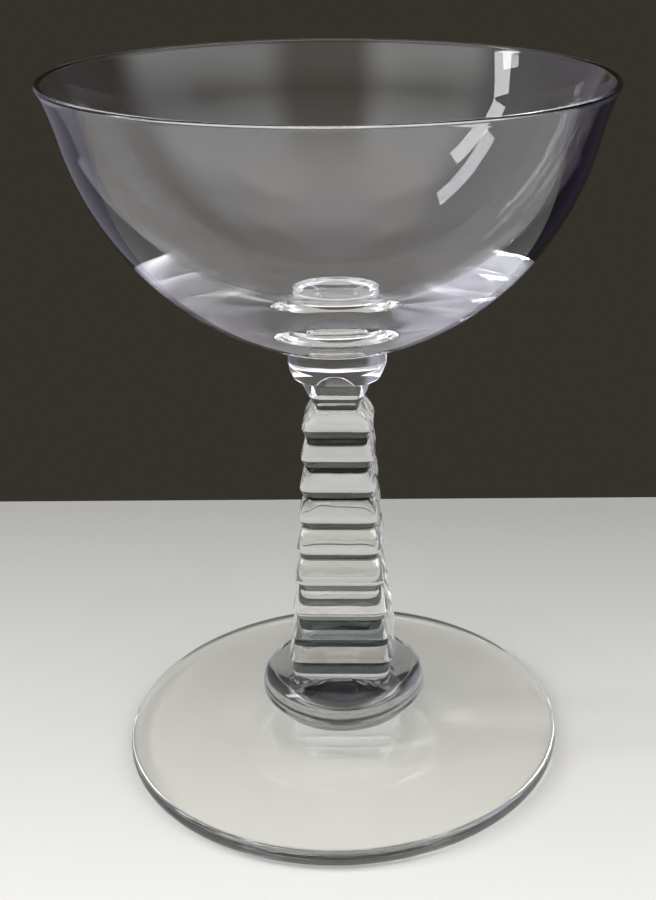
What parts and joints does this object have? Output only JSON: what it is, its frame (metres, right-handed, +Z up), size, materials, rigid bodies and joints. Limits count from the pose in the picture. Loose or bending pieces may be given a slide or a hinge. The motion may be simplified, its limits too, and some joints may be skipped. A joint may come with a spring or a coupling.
{
  "type": "sherbet glass",
  "caption": "Footed clear-glass sherbet or saucer glass: wide rounded bowl with an out-turned lip on a stepped, tapering square stem, a round collar and a disc foot; holds drinks and desserts.",
  "frame": {"origin": "on the table, under the middle of the foot", "axes": "+Z up along the axis of the glass, +X and +Y square to the flat sides of the stem"},
  "size_m": [0.094, 0.094, 0.127],
  "materials": {
    "foot_glass": "clear pressed glass, fire polished, faint grey-green",
    "stem_glass": "clear pressed glass, fire polished, faint grey-green",
    "bowl_glass": "clear blown glass, smooth, faint lavender"
  },
  "bodies": {
    "root": {"foot": "foot_glass", "collar": "stem_glass", "stem": "stem_glass", "bowl": "bowl_glass"}
  },
  "joints": []
}
